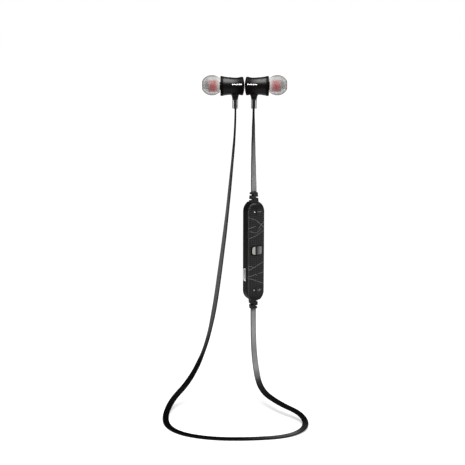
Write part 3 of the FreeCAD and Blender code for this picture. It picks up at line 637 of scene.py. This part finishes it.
long_line = route_line("long_guide", LONG_ROUTE)
long_ribbon = ribbon(
    "long_ribbon", long_line,
    facings=(
        (0, Vector((-1, 0, 0))), (20, Vector((-1, -0.08, 0))), (32, Vector((-1, -0.2, 0))),
        (64, Vector((-0.94, -0.38, 0))), (91, Vector((-0.84, -0.56, 0))), (117, Vector((-0.74, -0.67, 0))),
        (137, Vector((-0.74, -0.67, 0))), (151, Vector((-0.87, -0.5, 0))), (165, Vector((-0.9, -0.45, 0))),
        (176, Vector((-0.72, -0.7, 0.1))), (190, Vector((-0.5, -0.85, 0.2))), (210, Vector((0, -0.7, 0.7))),
        (230, Vector((0, -0.2, 1))), (245, Vector((0, 0, 1))), (330, Vector((0, 0, 1))),
        (352, Vector((0, -0.3, 0.95))), (376, Vector((0, -0.6, 0.8))), (396, Vector((0.15, -0.95, 0.2))),
        (418, REMOTE_FRONT),
    ),
    widths=((4.5, 0.495), (8, 1.0)),
    thicknesses=((4.5, 1.7), (5.6, 1.05), (8, 1.0)),
    # Screen levels of the face: the cable's own grey with painted light and shade, grey up the legs and
    # black where it lies on the floor.
    grey_and_painted_light=(
        (4, 8), (20, 50), (38, 74), (70, 86), (117, 82), (146, 70), (160, 44), (174, 8),
        (192, 1), (284, 1), (298, 26), (310, 46), (320, 54), (330, 20), (340, 3), (366, 4), (384, 10),
        (388, 26), (393, 78), (399, 116), (410, 118), (422, 134),
    ),
)
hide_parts("long_cable")
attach(long_ribbon, "left_bud_and_remote")

short_line = route_line("short_guide", SHORT_ROUTE)
short_ribbon = ribbon(
    "short_ribbon", short_line,
    facings=(
        (0, Vector((1, 0, 0))), (7, Vector((1, -0.14, 0))), (18, Vector((0.93, -0.36, 0))),
        (31, Vector((0.8, -0.6, 0))), (44, Vector((0.62, -0.78, 0))), (54, REMOTE_FRONT),
    ),
    widths=((4.5, 0.495), (8, 1.0)),
    thicknesses=((4.5, 1.7), (5.6, 1.05), (8, 1.0)),
    # Screen levels of the face: the cable's own grey with painted light, lighter towards the remote.
    grey_and_painted_light=((4, 8), (10, 40), (18, 62), (31, 104), (44, 118), (52, 122)),
)
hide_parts("short_cable")
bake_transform(short_ribbon)

# ---------------------------------------------------------------- ear tips

LATHE_STEPS = 80


def lathe(name, outline, side, finish, body, lift=0.0):
    """A closed ring round the bud axis, or a lift above it. The outline is (distance from the
    clasp, radius) in millimetres, and side is 1 for the right bud and -1 for the left."""
    places = []
    for step in range(LATHE_STEPS):
        turn = 2 * math.pi * step / LATHE_STEPS
        for along, radius in outline:
            spot = Vector((side * along, radius * math.cos(turn), lift + radius * math.sin(turn)))
            places.append(spot * MM)
    made = make_mesh(name, places, ring_faces(len(outline), LATHE_STEPS))
    made.data.materials.append(finish)
    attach(made, body)
    return made


def line_inside(made, finish, count, first, last):
    """Gives another finish to the faces between two of the outline's corners, of which a lathed
    piece has so many."""
    made.data.materials.append(finish)
    for index, face in enumerate(made.data.polygons):
        if first <= index % count < last:
            face.material_index = 1


TIP_MIDDLE = 20.4
TIP_RADIUS = 6.2
TIP_FRONT_REACH = 6.45
TIP_BACK_REACH = 7.1
TIP_WALL = 0.5
TIP_LIFT = 0.5               # the soft bulb sits a little high on its nozzle


def bulb_radius(along, inset):
    """Radius of the tip's skin at a distance from the clasp, on its outside or inset from it."""
    offset = along - TIP_MIDDLE
    reach = TIP_FRONT_REACH - inset if offset > 0 else TIP_BACK_REACH
    share = min(1.0, abs(offset) / reach)
    return (TIP_RADIUS - inset) * math.sqrt(1 - share * share)


def bulb_curve(start, step, count, inset=0.0):
    """Corners on the tip's skin at equal steps from a distance from the clasp."""
    return [(start + step * index, bulb_radius(start + step * index, inset)) for index in range(count)]


def skin_outline():
    """The silicone bulb's section, outside from the outlet to the skirt and back inside, and the
    corners at which its inside wall starts and ends."""
    outside = bulb_curve(26.3, -0.38, 16) + bulb_curve(TIP_MIDDLE, -0.5, 11)
    skirt_radius = outside[-1][1]
    lip = [(15.36, skirt_radius - 0.18), (15.5, skirt_radius - 0.36)]
    inside = bulb_curve(15.9, 0.5, 10, TIP_WALL) + bulb_curve(21.0, 0.4, 9, TIP_WALL)
    collar = [(24.3, 3.75), (23.9, 3.55), (23.0, 3.5), (22.62, 3.45), (22.62, 2.3), (22.8, 2.2)]
    outlet = [(25.9, 2.2), (26.25, 2.28)]
    wall = lip + inside + collar
    return outside + wall + outlet, len(outside), len(outside + wall) - 1


CORE_OUTLINE = (
    (15.6, 2.85), (15.65, 3.25), (15.8, 3.45), (16.4, 3.5), (17.0, 3.5), (17.15, 3.4), (17.35, 3.4),
    (17.5, 3.5), (22.3, 3.5), (22.5, 3.45), (22.6, 3.3), (22.6, 2.85), (22.4, 2.8), (15.8, 2.8),
)
lining = tip_lining()
skin_corners, wall_start, wall_end = skin_outline()
for side, sign in (("left", -1), ("right", 1)):
    skin = lathe(
        f"{side}_tip_skin", skin_corners, sign, FINISHES["tip_silicone"], f"{side}_tip",
        lift=TIP_LIFT,
    )
    line_inside(skin, lining, len(skin_corners), wall_start, wall_end)
    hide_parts(f"{side}_tip_bulb")
    tube = lathe(
        f"{side}_tip_tube", CORE_OUTLINE, sign, FINISHES["tip_core_red"], f"{side}_tip",
    )
    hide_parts(f"{side}_tip_core")

# ---------------------------------------------------------------- marks on the surfaces

RAY_START = 9                # millimetres out, where the rays start outside every surface
PRINT_LIFT = 0.012           # millimetres that a mark stands out from the surface


def target(*names):
    """A tree of the named CAD nodes' faces, for casting rays at them."""
    places, faces = [], []
    for name in names:
        data = frame["nodes"][name].data
        start = len(places)
        places += [corner.co.copy() for corner in data.vertices]
        faces += [tuple(start + corner for corner in face.vertices) for face in data.polygons]
    return BVHTree.FromPolygons(places, faces)


def raised_strip(rows, tree, lift):
    """Places and faces of a thin patch. Each row is a list of (start, direction) rays, and
    the patch lies where they meet the tree, a little above and below the surface. There is no
    patch if a ray misses."""
    places, faces = [], []
    wide = len(rows[0])
    for row in rows:
        for start, direction in row:
            hit = tree.ray_cast(start, direction)[0]
            if hit is None:
                return [], []
            places += [hit - direction * lift, hit + direction * lift * 2]
    deep = len(rows)

    def corner(row, column, layer):
        return 2 * (row * wide + column) + layer

    for row in range(deep - 1):
        for column in range(wide - 1):
            for layer in (0, 1):
                faces.append((
                    corner(row, column, layer), corner(row, column + 1, layer),
                    corner(row + 1, column + 1, layer), corner(row + 1, column, layer),
                ))
    for row in range(deep - 1):
        for column in (0, wide - 1):
            faces.append((
                corner(row, column, 0), corner(row + 1, column, 0),
                corner(row + 1, column, 1), corner(row, column, 1),
            ))
    for column in range(wide - 1):
        for row in (0, deep - 1):
            faces.append((
                corner(row, column, 0), corner(row, column + 1, 0),
                corner(row, column + 1, 1), corner(row, column, 1),
            ))
    return places, faces


def join_patches(name, patches, finish, body):
    """One object from several (places, faces) patches."""
    places, faces = [], []
    for patch_places, patch_faces in patches:
        start = len(places)
        places += patch_places
        faces += [tuple(start + corner for corner in face) for face in patch_faces]
    made = make_mesh(name, places, faces, smooth=False)
    made.data.materials.append(finish)
    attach(made, body)
    return made


# A plain broken stripe on each housing, as (start, length) of its blocks along the bud axis.
STRIPE_BLOCKS = ((1.75, 0.6), (2.65, 1.05), (4.0, 0.7), (5.0, 0.95), (6.2, 0.7), (7.15, 0.5))
STRIPE_HALF_HEIGHT = 0.28
STRIPE_RADIUS = 5.3          # of the housing, about where the stripe lies
STRIPE_TURN = math.radians(13.3)    # above the horizontal, towards the front
STRIPE_STEPS = 4
for side, sign, body in (("left", -1, "left_bud_and_remote"), ("right", 1, "right_bud")):
    tree = target(f"{side}_housing_shell", f"{side}_back_cap")
    patches = []
    for start, length in STRIPE_BLOCKS:
        rows = []
        for step in range(STRIPE_STEPS + 1):
            along = start + length * step / STRIPE_STEPS
            row = []
            for level in range(STRIPE_STEPS + 1):
                share = 2 * level / STRIPE_STEPS - 1
                angle = STRIPE_TURN + share * STRIPE_HALF_HEIGHT / STRIPE_RADIUS
                inwards = Vector((0, math.cos(angle), -math.sin(angle)))
                row.append((Vector((sign * along * MM, 0, 0)) - inwards * RAY_START * MM, inwards))
            rows.append(row)
        patches.append(raised_strip(rows, tree, PRINT_LIFT * MM))
    join_patches(f"{side}_stripe", patches, PRINT_WHITE, body)

LINE_STEP = 0.35             # millimetres between a line's rows of rays


def remote_line(spots, half_width, tree, lift=PRINT_LIFT):
    """A thin line on the remote's front through (across, along) spots, in millimetres."""
    dense = []
    for (x0, z0), (x1, z1) in zip(spots, spots[1:]):
        steps = max(2, round(math.hypot(x1 - x0, z1 - z0) / LINE_STEP))
        dense += [(x0 + (x1 - x0) * step / steps, z0 + (z1 - z0) * step / steps) for step in range(steps)]
    dense.append(spots[-1])
    rows = []
    for index, (x, z) in enumerate(dense):
        before, after = dense[max(0, index - 1)], dense[min(len(dense) - 1, index + 1)]
        run = Vector((after[0] - before[0], after[1] - before[1])).normalized()
        row = []
        for share in (-1, 0, 1):
            aside = half_width * share
            start = Vector((x - run.y * aside, -RAY_START, z + run.x * aside))
            row.append((REMOTE @ (start * MM), -REMOTE_FRONT))
        rows.append(row)
    return raised_strip(rows, tree, lift * MM)


# Fine lines of painted highlight on the front cover, on thin raised ribs, as (across, along) spots.
FRONT_HIGHLIGHT_HALF_WIDTH = 0.12
FRONT_HIGHLIGHT_LINES = (
    ((-5.6, 22.94), (-3.4, 22.06), (-1.15, 21.24), (0.57, 19.89), (4.54, 16.49), (5.6, 15.5)),
    ((-5.6, 15.72), (-3.06, 16.43), (-1.13, 17.24)),
    ((1.07, 15.49), (3.73, 18.02), (5.6, 19.8)),
    ((-5.6, 13.84), (-3.37, 13.66), (-2.08, 13.01), (-0.46, 12.93), (1.39, 13.96), (3.36, 15.34)),
    ((-5.6, 9.1), (-1.04, 10.94), (3.93, 13.31), (5.6, 14.1)),
    ((-5.6, -8.93), (-3.6, -8.99), (-2.29, -9.86)),
    ((-5.75, -9.7), (-5.01, -11.07)),
    ((-5.7, -11.75), (-2.29, -9.92), (0.76, -8.33), (3.14, -7.56), (5.5, -6.4)),
    ((-5.52, -15.53), (-2.79, -15.1), (-1.17, -14.15), (0.01, -15.15)),
    ((1.19, -14.01), (3.98, -13.64), (5.6, -13.4)),
    ((-5.75, -16.29), (-5.51, -17.11), (-3.89, -17.15), (-1.93, -17.94), (-0.3, -18.64), (2.43, -19.91),
     (5.5, -21.2)),
)
cover = target("remote_front_cover")
# The cover's lines carry painted highlight.
join_patches(
    "front_highlight_lines", [remote_line(spots, FRONT_HIGHLIGHT_HALF_WIDTH, cover) for spots in FRONT_HIGHLIGHT_LINES],
    PRINT_AND_HIGHLIGHT_GREY, "left_bud_and_remote",
)

# A strip of painted highlight along the cover's rounded left edge and round its ends.
RIM_ANGLE = 45.0             # how far the line looks outwards from the front, in degrees
RIM_HALF_ANGLE = 3.2         # half the line's width on the rounded edge, in degrees
RIM_DEPTH = 3.2              # millimetres, of the edge's centre in front of the remote's middle
RIM_INSET = 1.2              # millimetres, of the edge's centre from the cover's outline
RIM_ACROSS = REMOTE_HALF - RIM_INSET
RIM_RAY_START = 5            # millimetres from the edge's centre
RIM_LIFT = 0.02
RIM_STEPS = 24
END_TURN_WIDTH = 3.0         # how far the line turns in at each end
END_TURN_LENGTH = 4.8        # and over what length


def rim_highlight_strip(stations, half_angle, tree):
    """A thin strip of painted highlight on the cover's rounded edge, through stations given as
    (across, along, outward direction in degrees from the right)."""
    rows = []
    for across, along, degrees in stations:
        outward = Vector((math.cos(math.radians(degrees)), 0, math.sin(math.radians(degrees))))
        row = []
        for share in (-1, 0, 1):
            slope = math.radians(RIM_ANGLE + share * half_angle)
            inward = -outward * math.sin(slope) + Vector((0, 1, 0)) * math.cos(slope)
            start = Vector((across, -RIM_DEPTH, along)) - inward * RIM_RAY_START
            row.append((REMOTE @ (start * MM), (REMOTE_TURN @ inward).normalized()))
        rows.append(row)
    return raised_strip(rows, tree, RIM_LIFT * MM)


left_side = [
    (-RIM_ACROSS, STRAIGHT_HALF * (2 * step / RIM_STEPS - 1), 180) for step in range(RIM_STEPS + 1)
]
top_turn = []
for degrees in range(8, 89, 8):
    turn = math.radians(degrees)
    across = -RIM_ACROSS + END_TURN_WIDTH * (1 - math.cos(turn))
    top_turn.append((across, STRAIGHT_HALF + END_TURN_LENGTH * math.sin(turn), 180 - degrees))
bottom_turn = [(across, -along, -degrees) for across, along, degrees in reversed(top_turn)]
# Painted highlight along the cover's rounded edge.
join_patches(
    "cover_rim_highlight", [rim_highlight_strip(bottom_turn + left_side + top_turn, RIM_HALF_ANGLE, cover)],
    PRINT_AND_HIGHLIGHT_GREY, "left_bud_and_remote",
)

# A black crease across the length of each key, and the keys' plain minus and plus marks.
CREASE_ACROSS = -0.8
CREASE_HALF_LENGTH = 2.1
CREASE_HALF_WIDTH = 0.22
MINUS_HALF_WIDTH = 0.17
PLUS_HALF_WIDTH = 0.2
MINUS_BAR = ((0.29, 26.3), (3.43, 26.3))
PLUS_BAR = ((0.6, -25.0), (3.5, -25.0))
PLUS_POST = ((2.05, -24.0), (2.05, -26.0))
POST_LIFT = 0.014            # a little more than the bar's, so that the two share no face
minus_key = target("volume_minus_key")
plus_key = target("volume_plus_key")
for name, tree, middle in (("minus", minus_key, MINUS_KEY_MIDDLE), ("plus", plus_key, PLUS_KEY_MIDDLE)):
    ends = [(CREASE_ACROSS, middle + reach) for reach in (-CREASE_HALF_LENGTH, CREASE_HALF_LENGTH)]
    join_patches(
        f"{name}_key_crease", [remote_line(ends, CREASE_HALF_WIDTH, tree)],
        CREASE_BLACK, f"volume_{name}_key",
    )
join_patches(
    "minus_mark", [remote_line(MINUS_BAR, MINUS_HALF_WIDTH, minus_key)],
    PRINT_AND_HIGHLIGHT_GREY, "volume_minus_key",
)
join_patches(
    "plus_mark", [
        remote_line(PLUS_BAR, PLUS_HALF_WIDTH, plus_key),
        remote_line(PLUS_POST, PLUS_HALF_WIDTH, plus_key, POST_LIFT),
    ],
    PRINT_AND_HIGHLIGHT_GREY, "volume_plus_key",
)


def remote_piece(name, places, faces, finish, body):
    """A solid given in the remote's own axes, in millimetres."""
    made = make_mesh(name, [REMOTE @ (Vector(place) * MM) for place in places], faces, smooth=False)
    made.data.materials.append(finish)
    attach(made, body)
    return made


SOCKET_FRONT = -0.8          # of the socket's mouth, measured towards the remote's back
SOCKET_BACK = 1.8
SOCKET_HALF = 3.75
SOCKET_BEVEL = 0.8
# The silver lip round the mouth, as (across, growth of the mouth's outline) of each ring.
LIP_RINGS = ((-5.45, 0.05), (-6.08, 0.42), (-6.14, 0.38), (-6.14, -0.26), (-4.9, -0.3))


def socket_outline(growth):
    """The socket's outline as (through, along), bevelled towards the back, grown mostly that way."""
    front = SOCKET_FRONT - 0.3 * growth
    back = SOCKET_BACK + 1.6 * growth
    low = SOCKET_MIDDLE - SOCKET_HALF - growth
    high = SOCKET_MIDDLE + SOCKET_HALF + growth
    return [
        (front, low), (back - SOCKET_BEVEL, low), (back, low + SOCKET_BEVEL),
        (back, high - SOCKET_BEVEL), (back - SOCKET_BEVEL, high), (front, high),
    ]


lip_places = []
for across, growth in LIP_RINGS:
    lip_outline = socket_outline(growth)
    lip_places += [(across, through, along) for through, along in lip_outline]
remote_piece(
    "socket_lip", lip_places, ring_faces(len(lip_outline), len(LIP_RINGS)), LIP_SILVER,
    "left_bud_and_remote",
)

HOLE_ACROSS = -1.8           # the sound hole, beside the minus key's crease
HOLE_RADIUS = 0.33
HOLE_DEPTHS = (4.5, 4.93)    # of its mesh disc's back and front, in front of the remote's middle
HOLE_CORNERS = 20
disc_places = []
for depth in HOLE_DEPTHS:
    for step in range(HOLE_CORNERS):
        turn = 2 * math.pi * step / HOLE_CORNERS
        across = HOLE_ACROSS + HOLE_RADIUS * math.cos(turn)
        disc_places.append((across, -depth, MINUS_KEY_MIDDLE + HOLE_RADIUS * math.sin(turn)))
remote_piece(
    "sound_hole_mesh", disc_places, tube_faces(HOLE_CORNERS, len(HOLE_DEPTHS)), PRINT_WHITE,
    "volume_minus_key",
)
